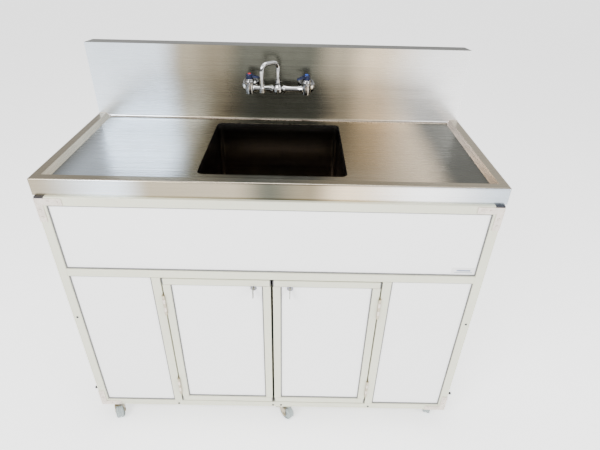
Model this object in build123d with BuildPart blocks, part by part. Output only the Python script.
from build123d import *
import math
import os

# Portable handwash sink: an aluminium tube cabinet on six swivel casters, a stainless counter with
# one basin and a backsplash, a wall faucet, and the tanks, pump and heater behind two locking doors.
# Millimetres. +X is the cabinet's right-hand end, +Y its back, +Z up. The origin lies on the ground
# under the middle of the unit.

os.makedirs("parts", exist_ok=True)

# ---------------------------------------------------------------- driving dimensions
COUNTER_WIDTH = 1219.2
RIM_TOP = 939.0
COUNTER_FRONT = -251.0
SPLASH_FACE = 241.5
SPLASH_RISE = 226.0
RETURN_REAR = 291.5
RETURN_HEM = 14.0
RETURN_TAPER = 9.0
APRON = 46.6
LIP_WIDTH = 18.0
RIM_WIDTH = 25.4
SLOPE_WIDTH = 12.0
DECK_DROP = 12.7
SHEET = 1.5
APRON_CORNER = 5.0
RIM_EDGE = 4.0
SPLASH_COVE = 9.0
NEAR = 0.01

BASIN_X = 403.0
BASIN_Y = 384.0
BASIN_CENTRE_Y = 11.5
BASIN_DEPTH = 254.0
BASIN_CORNER = 19.0
BASIN_FLOOR_EDGE = 16.0
BASIN_SHEET = 1.2
BASIN_FLANGE = 16.0

HALF_CABINET = 601.5
CABINET_FRONT = -261.0
CABINET_REAR = 251.0
TUBE = 25.4
TUBE_WALL = 1.6
TUBE_CORNER = 2.2
CAP_HEAD = 3.0
MID_RAIL_TOP = 661.2
MULLION_X = 330.6
SIDE_RAIL_Z = 476.4
CROSS_BAR_X = 331.0
CENTRE_BAR_X = 12.0
CENTRE_BAR_WIDTH = 50.8

PANEL = 3.0
PANEL_RECESS = 6.0
GASKET = 3.2
GASKET_DEPTH = 7.0

DOOR_TUBE = 22.2
DOOR_INNER_X = 3.2
DOOR_OUTER_X = 314.1
DOOR_BOTTOM = 88.0
DOOR_TOP = 633.0

HINGE_LENGTH = 76.2
HINGE_HEIGHTS = (536.0, 170.0)
HINGE_X = 316.0
HINGE_Y = CABINET_FRONT - 4.5
BARREL_RADIUS = 4.0
PIN_RADIUS = 1.8
RUNNING_FIT = 0.05
KNUCKLE_GAP = 0.4
LEAF = 1.6
LEAF_DEPTH = 24.5
KNUCKLES = 5
LEAF_OFFSET = 0.3
LEAF_CLEARANCE = 0.6

LOCK_X = 52.8
LOCK_Z = 601.3
LOCK_HEAD_RADIUS = 9.0
LOCK_BARREL_RADIUS = 7.5
GASKET_NOTCH = 10.8
LOCK_HEAD = 3.0
LOCK_HEAD_EDGE = 1.0
PLUG_RADIUS = 5.0
CAM_LENGTH = 45.0
CAM_THICKNESS = 2.4
CAM_BACK = -232.2

PLATE_LEG = 70.0
PLATE_WIDTH = 19.5
PLATE_THICKNESS = 1.8
RIVET_STEPS = (35.0, 57.0)
RIVET_RADIUS = 2.4
RIVET_HEAD_RADIUS = 4.2
RIVET_HEAD = 1.5
SCREW_RADIUS = 2.0
SCREW_HEAD_RADIUS = 3.6
SCREW_HEAD = 1.6
HEAD_TAPER = 28.0
SCREW_LINE = 0.42 * TUBE
SCREW_PAIR = 0.55 * CENTRE_BAR_WIDTH
BUMPER_Z = 134.0
BUMPER_RADIUS = 4.5
BUMPER_LENGTH = 12.0

CASTER_HEIGHT = 60.0
WHEEL_RADIUS = 25.0
WHEEL_WIDTH = 24.0
CASTER_TRAIL = 21.0
CASTER_PIVOT_Y = -240.0
CORNER_CASTER_X = 550.0
MIDDLE_CASTER_X = 32.0
CASTER_PLATE_X = 53.0
CASTER_PLATE = 2.6
AXLE_RADIUS = 4.0
KING_PIN_RADIUS = 4.5
FORK_SHEET = 2.4

FAUCET_SPREAD = 90.0
FAUCET_Z = 1045.0
VALVE_Y = 196.0
SPOUT_TOP = 1129.0
SPOUT_REACH = 64.0
SPOUT_TURN = -48.0
SPOUT_TUBE = 6.4
OUTLET_Z = 1046.0
RIGHT_LEVER_TURN = 24.0
SHANK_HOLE_RADIUS = 11.0
SHANK_RADIUS = 10.4

TANK_X = 150.0
TANK_CENTRE_Y = -30.0
WASTE_TANK = (280.0, 300.0, 340.0)
FRESH_TANK = (280.0, 280.0, 300.0)
TANK_WALL = 3.0
NECK_RADIUS = 27.0
NECK_HEIGHT = 20.0
DRAIN_HOSE_RADIUS = 14.0
SUPPLY_HOSE_RADIUS = 7.0
WATER_HOSE_RADIUS = 6.0
HOSE_WALL = 2.0
BEND_SHARE = 0.45

# ---------------------------------------------------------------- worked-out levels
LIP_Z = RIM_TOP - APRON
DECK = RIM_TOP - DECK_DROP
SPLASH_TOP = RIM_TOP + SPLASH_RISE
TRAY_REAR = SPLASH_FACE + SHEET
FRAME_TOP = LIP_Z
FRAME_BOTTOM = CASTER_HEIGHT
POST_TOP = FRAME_TOP - CAP_HEAD
POST_X = HALF_CABINET - TUBE / 2
FRONT_TUBE_Y = CABINET_FRONT + TUBE / 2
REAR_TUBE_Y = CABINET_REAR - TUBE / 2
INSIDE_X = HALF_CABINET - TUBE
INSIDE_FRONT = CABINET_FRONT + TUBE
INSIDE_REAR = CABINET_REAR - TUBE
TOP_RAIL_BOTTOM = FRAME_TOP - TUBE
BOTTOM_RAIL_TOP = FRAME_BOTTOM + TUBE
MID_RAIL_BOTTOM = MID_RAIL_TOP - TUBE
BASIN_FLOOR = DECK - BASIN_DEPTH
FLOOR_TOP = BOTTOM_RAIL_TOP + PANEL
FRONT_PANEL_Y = CABINET_FRONT + PANEL_RECESS
REAR_PANEL_Y = CABINET_REAR - PANEL_RECESS - PANEL
SIDES = (-1, 1)
FACES = ((CABINET_FRONT, -1), (CABINET_REAR, 1))


# ---------------------------------------------------------------- shared shapes
def save(piece, label):
    """Labels a finished piece and writes it to the parts folder."""
    piece.part.label = label
    export_step(piece.part, f"parts/{label}.step")


def box_between(low, high, mode=Mode.ADD):
    """Adds or cuts the box between two opposite corners."""
    sizes = [top - bottom for bottom, top in zip(low, high)]
    middle = tuple((bottom + top) / 2 for bottom, top in zip(low, high))
    with Locations(middle):
        Box(*sizes, mode=mode)


def facing_y(x, y, z):
    """A plane at a point, drawn in X and Z, whose normal is +Y."""
    return Plane(origin=(x, y, z), x_dir=(1, 0, 0), z_dir=(0, 1, 0))


def facing_x(x, y, z):
    """A plane at a point, drawn in Y and Z, whose normal is +X."""
    return Plane(origin=(x, y, z), x_dir=(0, 1, 0), z_dir=(1, 0, 0))


def rod(plane, radius, length, mode=Mode.ADD):
    """Adds or cuts a round bar that starts on a plane and follows its normal."""
    with BuildSketch(plane) as outline:
        Circle(radius)
    extrude(outline.sketch, amount=length, mode=mode)


def ring(plane, outer, inner, length):
    """Adds a round tube or washer that starts on a plane and follows its normal."""
    with BuildSketch(plane) as outline:
        Circle(outer)
        Circle(inner, mode=Mode.SUBTRACT)
    extrude(outline.sketch, amount=length)


def square_tube(start, direction, length, width=TUBE, height=TUBE):
    """Adds a rounded box tube along an axis; width is level and height is the other way."""
    level = (1, 0, 0) if direction[0] == 0 else (0, 1, 0)
    inner_corner = TUBE_CORNER - TUBE_WALL
    with BuildSketch(Plane(origin=start, x_dir=level, z_dir=direction)) as outline:
        RectangleRounded(width, height, TUBE_CORNER)
        RectangleRounded(width - 2 * TUBE_WALL, height - 2 * TUBE_WALL, inner_corner, mode=Mode.SUBTRACT)
    extrude(outline.sketch, amount=length)


def border(plane, width, height, edge, depth):
    """Adds a flat rectangular ring that fills the rim of an opening."""
    with BuildSketch(plane) as outline:
        Rectangle(width, height)
        Rectangle(width - 2 * edge, height - 2 * edge, mode=Mode.SUBTRACT)
    extrude(outline.sketch, amount=depth)


def sheet_in(plane, width, height, depth):
    """Adds a flat panel that stands inside its gasket in an opening."""
    with BuildSketch(plane) as outline:
        Rectangle(width - 2 * GASKET, height - 2 * GASKET)
    extrude(outline.sketch, amount=depth)


def domed_head(plane, radius, height):
    """Adds a low domed fastener head that stands out along the plane's normal."""
    with BuildSketch(plane) as outline:
        Circle(radius)
    extrude(outline.sketch, amount=height, taper=HEAD_TAPER)


def route_radii(points):
    """The largest smooth bend at each inner point of a hose route."""
    radii = []
    for before, corner, after in zip(points, points[1:], points[2:]):
        arriving = Vector(*corner) - Vector(*before)
        leaving = Vector(*after) - Vector(*corner)
        half_turn = math.radians(arriving.get_angle(leaving)) / 2
        radii.append(BEND_SHARE * min(arriving.length, leaving.length) / math.tan(half_turn))
    return radii


def hose_along(points, outer, inner):
    """Adds a hose of round section that follows straight runs joined by tangent arcs."""
    radii = route_radii(points)
    with BuildLine() as route:
        FilletPolyline(*points, radius=radii)
    with BuildSketch(Plane(origin=route.line @ 0, z_dir=route.line % 0)) as section:
        Circle(outer)
        Circle(inner, mode=Mode.SUBTRACT)
    sweep(section.sketch, path=route.line)
    length = route.wire().length
    area = math.pi * (outer**2 - inner**2)
    print(f"hose length {length:.0f}, section x length {area * length:.0f}, smallest bend {min(radii):.0f}")


# ---------------------------------------------------------------- cabinet frame
def rivet_points():
    """Every corner plate rivet as (x, z) on a face of the cabinet."""
    points = []
    for side in SIDES:
        for level, inward in ((POST_TOP, -1), (FRAME_BOTTOM, 1)):
            edge_x = side * HALF_CABINET
            for step in RIVET_STEPS:
                points.append((edge_x - side * step, level + inward * PLATE_WIDTH / 2))
                points.append((edge_x - side * PLATE_WIDTH / 2, level + inward * step))
    return points


def screw_points():
    """Every frame screw as (x, z) on a face of the cabinet."""
    rail_z = FRAME_BOTTOM + SCREW_LINE
    half_pair = SCREW_PAIR / 2
    low = [-CROSS_BAR_X, CENTRE_BAR_X - half_pair, CENTRE_BAR_X + half_pair, CROSS_BAR_X]
    points = [(x, rail_z) for x in low]
    for side in SIDES:
        points.append((side * POST_X, SIDE_RAIL_Z))
    return points


def cut_fastener_holes():
    """Cuts the rivet and screw holes through the outer walls of the tubes that the part holds."""
    for face, outward in FACES:
        start = face + outward * TUBE_WALL
        for radius, points in ((RIVET_RADIUS, rivet_points()), (SCREW_RADIUS, screw_points())):
            with BuildSketch(facing_y(0, start, 0)) as outline:
                with Locations(*[(x, -z) for x, z in points]):
                    Circle(radius)
            extrude(outline.sketch, amount=-outward * 3 * TUBE_WALL, mode=Mode.SUBTRACT)


with BuildPart() as corner_posts:
    for x in (-POST_X, POST_X):
        for y in (FRONT_TUBE_Y, REAR_TUBE_Y):
            square_tube((x, y, FRAME_BOTTOM), (0, 0, 1), POST_TOP - FRAME_BOTTOM)
    cut_fastener_holes()
save(corner_posts, "corner_posts")

RAIL_CENTRES = (
    (FRONT_TUBE_Y, FRAME_TOP - TUBE / 2),
    (FRONT_TUBE_Y, MID_RAIL_TOP - TUBE / 2),
    (FRONT_TUBE_Y, FRAME_BOTTOM + TUBE / 2),
    (REAR_TUBE_Y, FRAME_TOP - TUBE / 2),
    (REAR_TUBE_Y, FRAME_BOTTOM + TUBE / 2),
)
with BuildPart() as long_rails:
    for y, z in RAIL_CENTRES:
        square_tube((-INSIDE_X, y, z), (1, 0, 0), 2 * INSIDE_X)
    cut_fastener_holes()
save(long_rails, "long_rails")

with BuildPart() as mullions:
    for side in SIDES:
        start = (side * MULLION_X, FRONT_TUBE_Y, BOTTOM_RAIL_TOP)
        square_tube(start, (0, 0, 1), MID_RAIL_BOTTOM - BOTTOM_RAIL_TOP)
save(mullions, "mullions")

SEAT_GAP = 0.5
SIDE_RAIL_LEVELS = (FRAME_BOTTOM + TUBE / 2, SIDE_RAIL_Z, FRAME_TOP - TUBE / 2)
with BuildPart() as depth_rails:
    depth = INSIDE_REAR - INSIDE_FRONT
    for side in SIDES:
        for z in SIDE_RAIL_LEVELS:
            square_tube((side * POST_X, INSIDE_FRONT, z), (0, 1, 0), depth)
        square_tube((side * CROSS_BAR_X, INSIDE_FRONT, FRAME_BOTTOM + TUBE / 2), (0, 1, 0), depth)
        # short tubes behind the rails widen the seats of the corner casters
        near_end = side * (INSIDE_X - SEAT_GAP)
        for y in (INSIDE_FRONT + TUBE / 2, INSIDE_REAR - TUBE / 2):
            square_tube((near_end, y, FRAME_BOTTOM + TUBE / 2), (-side, 0, 0), CASTER_PLATE_X)
    centre_start = (CENTRE_BAR_X, INSIDE_FRONT, FRAME_BOTTOM + TUBE / 2)
    square_tube(centre_start, (0, 1, 0), depth, width=CENTRE_BAR_WIDTH)
save(depth_rails, "depth_rails")

# ---------------------------------------------------------------- fixed panels and their gaskets
LOWER_BAY_X = (MULLION_X + TUBE / 2 + INSIDE_X) / 2
LOWER_BAY_WIDTH = INSIDE_X - MULLION_X - TUBE / 2
LOWER_BAY_Z = (BOTTOM_RAIL_TOP + MID_RAIL_BOTTOM) / 2
LOWER_BAY_HEIGHT = MID_RAIL_BOTTOM - BOTTOM_RAIL_TOP
TOP_BAY_Z = (MID_RAIL_TOP + TOP_RAIL_BOTTOM) / 2
TOP_BAY_HEIGHT = TOP_RAIL_BOTTOM - MID_RAIL_TOP
REAR_BAY_Z = (BOTTOM_RAIL_TOP + TOP_RAIL_BOTTOM) / 2
REAR_BAY_HEIGHT = TOP_RAIL_BOTTOM - BOTTOM_RAIL_TOP
SIDE_BAY_Y = (INSIDE_FRONT + INSIDE_REAR) / 2
SIDE_BAY_WIDTH = INSIDE_REAR - INSIDE_FRONT
SIDE_BAYS = (
    (BOTTOM_RAIL_TOP, SIDE_RAIL_Z - TUBE / 2),
    (SIDE_RAIL_Z + TUBE / 2, TOP_RAIL_BOTTOM),
)
GASKET_PROUD = (GASKET_DEPTH - PANEL) / 2
HOSE_SLOT_Z = 783.0
HOSE_SLOT = (26.0, 74.0)
INLET_X = -400.0
INLET_Z = 190.0
INLET_CUTOUT = (40.0, 26.0)

with BuildPart() as front_top_panel:
    sheet_in(facing_y(0, FRONT_PANEL_Y, TOP_BAY_Z), 2 * INSIDE_X, TOP_BAY_HEIGHT, PANEL)
save(front_top_panel, "front_top_panel")

with BuildPart() as lower_front_panels:
    for side in SIDES:
        plane = facing_y(side * LOWER_BAY_X, FRONT_PANEL_Y, LOWER_BAY_Z)
        sheet_in(plane, LOWER_BAY_WIDTH, LOWER_BAY_HEIGHT, PANEL)
save(lower_front_panels, "lower_front_panels")

with BuildPart() as side_panels:
    for side in SIDES:
        for low, high in SIDE_BAYS:
            outer_face = side * (HALF_CABINET - PANEL_RECESS)
            plane = facing_x(outer_face, SIDE_BAY_Y, (low + high) / 2)
            sheet_in(plane, SIDE_BAY_WIDTH, high - low, -side * PANEL)
save(side_panels, "side_panels")

with BuildPart() as rear_panel:
    sheet_in(facing_y(0, REAR_PANEL_Y, REAR_BAY_Z), 2 * INSIDE_X, REAR_BAY_HEIGHT, PANEL)
    with BuildSketch(facing_y(0, REAR_PANEL_Y, 0)):
        with Locations(*[(side * FAUCET_SPREAD, -HOSE_SLOT_Z) for side in SIDES]):
            SlotOverall(HOSE_SLOT[1], HOSE_SLOT[0], rotation=90)
        with Locations((INLET_X, -INLET_Z)):
            Rectangle(*INLET_CUTOUT)
    extrude(amount=PANEL, mode=Mode.SUBTRACT)
save(rear_panel, "rear_panel")

with BuildPart() as floor_panel:
    box_between((-INSIDE_X, INSIDE_FRONT, BOTTOM_RAIL_TOP), (INSIDE_X, INSIDE_REAR, FLOOR_TOP))
save(floor_panel, "floor_panel")

with BuildPart() as panel_gaskets:
    front_start = FRONT_PANEL_Y - GASKET_PROUD
    rear_start = REAR_PANEL_Y - GASKET_PROUD
    border(facing_y(0, front_start, TOP_BAY_Z), 2 * INSIDE_X, TOP_BAY_HEIGHT, GASKET, GASKET_DEPTH)
    border(facing_y(0, rear_start, REAR_BAY_Z), 2 * INSIDE_X, REAR_BAY_HEIGHT, GASKET, GASKET_DEPTH)
    for side in SIDES:
        plane = facing_y(side * LOWER_BAY_X, front_start, LOWER_BAY_Z)
        border(plane, LOWER_BAY_WIDTH, LOWER_BAY_HEIGHT, GASKET, GASKET_DEPTH)
        outer_face = side * (HALF_CABINET - PANEL_RECESS + GASKET_PROUD)
        for low, high in SIDE_BAYS:
            plane = facing_x(outer_face, SIDE_BAY_Y, (low + high) / 2)
            border(plane, SIDE_BAY_WIDTH, high - low, GASKET, -side * GASKET_DEPTH)
    # the floor panel lies on the bottom rails, so the gaskets above those rails are cut back to its top
    box_between((-INSIDE_X, INSIDE_FRONT, BOTTOM_RAIL_TOP), (INSIDE_X, INSIDE_REAR, FLOOR_TOP),
                mode=Mode.SUBTRACT)
save(panel_gaskets, "panel_gaskets")

# ---------------------------------------------------------------- corner plates, screws and caps
with BuildPart() as corner_plates:
    for face, outward in FACES:
        for side in SIDES:
            for level, inward in ((POST_TOP, -1), (FRAME_BOTTOM, 1)):
                edge_x = side * HALF_CABINET
                far_x = edge_x - side * PLATE_LEG
                near_x = edge_x - side * PLATE_WIDTH
                with BuildSketch(facing_y(0, face, 0)):
                    with BuildLine():
                        Polyline(
                            (edge_x, -level),
                            (far_x, -level),
                            (far_x, -(level + inward * PLATE_WIDTH)),
                            (near_x, -(level + inward * PLATE_WIDTH)),
                            (near_x, -(level + inward * PLATE_LEG)),
                            (edge_x, -(level + inward * PLATE_LEG)),
                            close=True,
                        )
                    make_face()
                extrude(amount=outward * PLATE_THICKNESS)
        with BuildSketch(facing_y(0, face, 0)):
            with Locations(*[(x, -z) for x, z in rivet_points()]):
                Circle(RIVET_RADIUS)
        extrude(amount=outward * PLATE_THICKNESS, mode=Mode.SUBTRACT)
plates_only = corner_plates.part

with BuildPart() as plate_rivets:
    for face, outward in FACES:
        outer = face + outward * PLATE_THICKNESS
        for x, z in rivet_points():
            head_plane = Plane(origin=(x, outer, z), x_dir=(1, 0, 0), z_dir=(0, outward, 0))
            domed_head(head_plane, RIVET_HEAD_RADIUS, RIVET_HEAD)
            rod(head_plane, RIVET_RADIUS, -(PLATE_THICKNESS + TUBE_WALL))
corner_plates.part = Compound(children=[*plates_only.solids(), *plate_rivets.part.solids()])
save(corner_plates, "corner_plates")

with BuildPart() as frame_screws:
    for face, outward in FACES:
        for x, z in screw_points():
            head_plane = Plane(origin=(x, face, z), x_dir=(1, 0, 0), z_dir=(0, outward, 0))
            domed_head(head_plane, SCREW_HEAD_RADIUS, SCREW_HEAD)
            rod(head_plane, SCREW_RADIUS, -(TUBE_WALL + 4 * SCREW_RADIUS))
save(frame_screws, "frame_screws")

CAP_STEM = 10.0
STEM_CLEARANCE = 0.2
with BuildPart() as post_caps:
    stem = TUBE - 2 * TUBE_WALL - 2 * STEM_CLEARANCE
    for x in (-POST_X, POST_X):
        for y in (FRONT_TUBE_Y, REAR_TUBE_Y):
            with BuildSketch(Plane.XY.offset(POST_TOP)):
                with Locations((x, y)):
                    RectangleRounded(TUBE, TUBE, TUBE_CORNER)
            extrude(amount=CAP_HEAD)
            with BuildSketch(Plane.XY.offset(POST_TOP)):
                with Locations((x, y)):
                    Rectangle(stem, stem)
            extrude(amount=-CAP_STEM)
    for side in SIDES:
        for y in (FRONT_TUBE_Y, REAR_TUBE_Y):
            bumper_plane = Plane(origin=(side * HALF_CABINET, y, BUMPER_Z), z_dir=(side, 0, 0))
            rod(bumper_plane, BUMPER_RADIUS, BUMPER_LENGTH)
save(post_caps, "post_caps")

# ---------------------------------------------------------------- counter
SLOPE_SHIFT = math.tan(math.atan2(DECK_DROP, SLOPE_WIDTH) / 2)
HALF_COUNTER = COUNTER_WIDTH / 2


def counter_form(inset):
    """The space under the counter's skin, with every face moved inward by the inset."""
    half = HALF_COUNTER - inset
    front = COUNTER_FRONT + inset
    with BuildPart() as form:
        base = LIP_Z + inset
        box_between((-half, front, base), (half, TRAY_REAR - inset, RIM_TOP - inset))
        uprights = form.edges().filter_by(Axis.Z).group_by(Axis.Y)[0]
        fillet(uprights, APRON_CORNER - inset)
        rim_edges = form.edges().group_by(Axis.Z)[-1].sort_by(Axis.Y)[:-1]
        fillet(rim_edges, RIM_EDGE - inset)
        # the deck is pressed down inside the rim, with a slope on three sides
        grow = inset * SLOPE_SHIFT
        rim_half = HALF_COUNTER - RIM_WIDTH + grow
        rim_front = COUNTER_FRONT + RIM_WIDTH - grow
        levels = ((RIM_TOP - inset, 0.0), (DECK - inset, SLOPE_WIDTH))
        outlines = []
        for level, step in levels:
            with BuildSketch(Plane.XY.offset(level)) as outline:
                with BuildLine():
                    Polyline(
                        (-rim_half + step, rim_front + step),
                        (rim_half - step, rim_front + step),
                        (rim_half - step, TRAY_REAR),
                        (-rim_half + step, TRAY_REAR),
                        close=True,
                    )
                make_face()
            outlines.append(outline.sketch)
        loft(outlines, mode=Mode.SUBTRACT)
        # the backsplash and its return stand on the back of the tray
        # and the space behind it runs out past both ends
        splash_half = HALF_COUNTER if inset == 0 else HALF_COUNTER + SHEET
        box_between(
            (-splash_half, SPLASH_FACE + inset, DECK - inset),
            (splash_half, RETURN_REAR + 2 * inset, SPLASH_TOP - inset),
        )
        if inset == 0:
            cove = form.edges().filter_by(Axis.X).filter_by_position(Axis.Z, DECK - NEAR, DECK + NEAR)
            fillet(cove.filter_by_position(Axis.Y, SPLASH_FACE - NEAR, SPLASH_FACE + NEAR), SPLASH_COVE)
    return form.part


outer_form = counter_form(0.0)
inner_form = counter_form(SHEET)
with BuildPart() as counter_top:
    add(outer_form)
    add(inner_form, mode=Mode.SUBTRACT)
    # the apron turns in under the counter, and the tray is open inside that lip
    box_between(
        (-HALF_COUNTER + LIP_WIDTH, COUNTER_FRONT + LIP_WIDTH, LIP_Z),
        (HALF_COUNTER - LIP_WIDTH, TRAY_REAR - LIP_WIDTH, LIP_Z + SHEET),
        mode=Mode.SUBTRACT,
    )
    # the return is open behind and below, and ends in a short turned-down hem
    box_between((-HALF_COUNTER, RETURN_REAR - SHEET, SPLASH_TOP - RETURN_HEM),
                (HALF_COUNTER, RETURN_REAR, SPLASH_TOP))
    for side in SIDES:
        with BuildSketch(Plane.XY.offset(SPLASH_TOP)):
            with BuildLine():
                Polyline(
                    (side * HALF_COUNTER, TRAY_REAR + 2 * SHEET),
                    (side * HALF_COUNTER, RETURN_REAR),
                    (side * (HALF_COUNTER - RETURN_TAPER), RETURN_REAR),
                    close=True,
                )
            make_face()
        extrude(amount=-RETURN_HEM, mode=Mode.SUBTRACT)
    with BuildSketch(Plane.XY.offset(DECK + SHEET)):
        with Locations((0, BASIN_CENTRE_Y)):
            RectangleRounded(BASIN_X, BASIN_Y, BASIN_CORNER)
    extrude(amount=-3 * SHEET, mode=Mode.SUBTRACT)
    for side in SIDES:
        rod(facing_y(side * FAUCET_SPREAD, SPLASH_FACE - SHEET, FAUCET_Z), SHANK_HOLE_RADIUS, 3 * SHEET,
            mode=Mode.SUBTRACT)
save(counter_top, "counter_top")


def bowl_form(grow, floor_z):
    """The rounded box of the basin, grown outward by the given amount."""
    with BuildPart() as form:
        with BuildSketch(Plane.XY.offset(DECK - SHEET)) as outline:
            with Locations((0, BASIN_CENTRE_Y)):
                RectangleRounded(BASIN_X + 2 * grow, BASIN_Y + 2 * grow, BASIN_CORNER + grow)
        extrude(outline.sketch, amount=-(DECK - SHEET - floor_z))
        fillet(form.edges().group_by(Axis.Z)[0], BASIN_FLOOR_EDGE + grow)
    return form.part


bowl_outside = bowl_form(BASIN_SHEET, BASIN_FLOOR - BASIN_SHEET)
bowl_inside = bowl_form(0.0, BASIN_FLOOR)
DRAIN_CUP_RADIUS = 43.0
with BuildPart() as basin:
    add(bowl_outside)
    with BuildSketch(Plane.XY.offset(DECK - SHEET)):
        with Locations((0, BASIN_CENTRE_Y)):
            RectangleRounded(BASIN_X + 2 * BASIN_FLANGE, BASIN_Y + 2 * BASIN_FLANGE,
                             BASIN_CORNER + BASIN_FLANGE)
    extrude(amount=-BASIN_SHEET)
    add(bowl_inside, mode=Mode.SUBTRACT)
    rod(Plane(origin=(0, BASIN_CENTRE_Y, BASIN_FLOOR + BASIN_SHEET)), DRAIN_CUP_RADIUS,
        -3 * BASIN_SHEET, mode=Mode.SUBTRACT)
save(basin, "basin")

# ---------------------------------------------------------------- drain
DRAIN_AXIS = Axis((0, BASIN_CENTRE_Y, 0), (0, 0, 1))
DRAIN_PLANE = Plane(origin=(0, BASIN_CENTRE_Y, 0), x_dir=(1, 0, 0), z_dir=(0, -1, 0))
DRAIN_RIM_RADIUS = 56.0
DRAIN_WALL = 1.8
DRAIN_DEPTH = 52.0
OUTLET_RADIUS = 17.0
NUT_RADIUS = 53.0
NUT_HEIGHT = 12.0
NUT_SIDES = 8
SPIGOT = 10.0
SPIGOT_WALL = 2.0
DRAIN_EDGE = 1.0
DRAIN_FLOOR = BASIN_FLOOR - DRAIN_DEPTH


def turned(points):
    """Adds a shape turned about the drain's axis from (radius, height) points."""
    with BuildSketch(DRAIN_PLANE) as outline:
        with BuildLine():
            Polyline(*points, close=True)
        make_face()
    revolve(outline.sketch, axis=DRAIN_AXIS)


with BuildPart() as drain_flange:
    inner = DRAIN_CUP_RADIUS - DRAIN_WALL
    turned((
        (DRAIN_CUP_RADIUS, BASIN_FLOOR),
        (DRAIN_RIM_RADIUS, BASIN_FLOOR),
        (DRAIN_RIM_RADIUS - DRAIN_EDGE, BASIN_FLOOR + DRAIN_WALL),
        (inner + 2 * DRAIN_EDGE, BASIN_FLOOR + DRAIN_WALL),
        (inner, BASIN_FLOOR - 2 * DRAIN_EDGE),
        (inner, DRAIN_FLOOR + DRAIN_WALL),
        (OUTLET_RADIUS, DRAIN_FLOOR + DRAIN_WALL),
        (OUTLET_RADIUS, DRAIN_FLOOR - SPIGOT),
        (OUTLET_RADIUS + SPIGOT_WALL, DRAIN_FLOOR - SPIGOT),
        (OUTLET_RADIUS + SPIGOT_WALL, DRAIN_FLOOR),
        (DRAIN_CUP_RADIUS, DRAIN_FLOOR),
    ))
    nut_top = BASIN_FLOOR - BASIN_SHEET
    with BuildSketch(Plane(origin=(0, BASIN_CENTRE_Y, nut_top))):
        RegularPolygon(NUT_RADIUS, NUT_SIDES)
        Circle(DRAIN_CUP_RADIUS, mode=Mode.SUBTRACT)
    extrude(amount=-NUT_HEIGHT)
save(drain_flange, "drain_flange")

BASKET_RADIUS = 35.0
BASKET_HEIGHT = 30.0
BASKET_LIFT_GAP = 0.5
STOPPER_HEIGHT = 5.0
BASKET_HOLE = 2.4
BASKET_HOLES = 16
BASKET_HOLE_CIRCLE = BASKET_RADIUS - 10.5
BASKET_LIP = 4.0
BASKET_SLANT = 4.0
STOPPER_SLANT = 2.0
STEM_RADIUS = 3.0
KNOB_RADIUS = 8.0
KNOB_EDGE = 3.0
KNOB_NECK = 4.0
KNOB_HEIGHT = 8.0
with BuildPart() as strainer_basket:
    foot = DRAIN_FLOOR + DRAIN_WALL + BASKET_LIFT_GAP
    base = foot + STOPPER_HEIGHT
    top = base + BASKET_HEIGHT
    turned((
        (0, foot),
        (OUTLET_RADIUS + 2 * STOPPER_SLANT, foot),
        (OUTLET_RADIUS + STOPPER_SLANT, base),
        (BASKET_RADIUS - BASKET_SLANT, base),
        (BASKET_RADIUS, top - BASKET_LIP / 2),
        (BASKET_RADIUS + BASKET_LIP, top),
        (BASKET_RADIUS + BASKET_LIP, top + DRAIN_WALL),
        (BASKET_RADIUS - BASKET_LIP / 4, top + DRAIN_WALL),
        (BASKET_RADIUS - BASKET_SLANT - BASKET_LIP / 3, base + DRAIN_WALL),
        (STEM_RADIUS, base + DRAIN_WALL),
        (STEM_RADIUS, top + KNOB_NECK),
        (KNOB_RADIUS, top + KNOB_NECK + KNOB_EDGE),
        (KNOB_RADIUS, top + KNOB_NECK + KNOB_HEIGHT - KNOB_EDGE),
        (KNOB_RADIUS - KNOB_EDGE, top + KNOB_NECK + KNOB_HEIGHT),
        (0, top + KNOB_NECK + KNOB_HEIGHT),
    ))
    with BuildSketch(Plane(origin=(0, BASIN_CENTRE_Y, base - 1))):
        with PolarLocations(BASKET_HOLE_CIRCLE, BASKET_HOLES):
            Circle(BASKET_HOLE)
    extrude(amount=DRAIN_WALL + 2, mode=Mode.SUBTRACT)
save(strainer_basket, "strainer_basket")

TAILPIECE_LENGTH = 34.0
COLLAR_HEIGHT = 18.0
COLLAR_WALL = 7.0
COLLAR_LAP = 8.0
TAIL_TOP = DRAIN_FLOOR - SPIGOT
TAIL_BOTTOM = TAIL_TOP - TAILPIECE_LENGTH
with BuildPart() as drain_tailpiece:
    tail_radius = OUTLET_RADIUS + SPIGOT_WALL
    ring(Plane(origin=(0, BASIN_CENTRE_Y, TAIL_TOP)), tail_radius, OUTLET_RADIUS, -TAILPIECE_LENGTH)
    with BuildSketch(Plane(origin=(0, BASIN_CENTRE_Y, TAIL_TOP + COLLAR_LAP))):
        RegularPolygon(tail_radius + COLLAR_WALL, NUT_SIDES)
        Circle(tail_radius, mode=Mode.SUBTRACT)
    extrude(amount=-COLLAR_HEIGHT)
save(drain_tailpiece, "drain_tailpiece")

# ---------------------------------------------------------------- faucet
FLANGE_RADIUS = 27.5
FLANGE_DEPTH = 11.0
ELBOW_Y = 268.0
ELBOW_DROP = 27.0
VALVE_RADIUS = 13.0
VALVE_BOTTOM = FAUCET_Z - 15
VALVE_TOP = FAUCET_Z + 31
BAR_RADIUS = 8.5
HUB_TOP = FAUCET_Z + 21
SPOUT_BORE = 4.6
RISER_SEAT = 6.0
WRENCH_HEX = 15.0
WRENCH_START = 15.0
WRENCH_DEPTH = 11.0
BACK_NUT = 17.0
BACK_NUT_DEPTH = 7.0
ELBOW_RADIUS = SHANK_RADIUS - 1.0
VALVE_BAND = (6.0, 24.0, 1.5)
HUB_FOOT = 12.0
HUB_RADIUS = 16.5
HUB_FOOT_RADIUS = 12.0
HUB_SIDE = (-6.0, 3.0)
HUB_NECK = SPOUT_TUBE + 2.5
HUB_CURVE = 26.0
FLANGE_EDGE = 3.0
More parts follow.
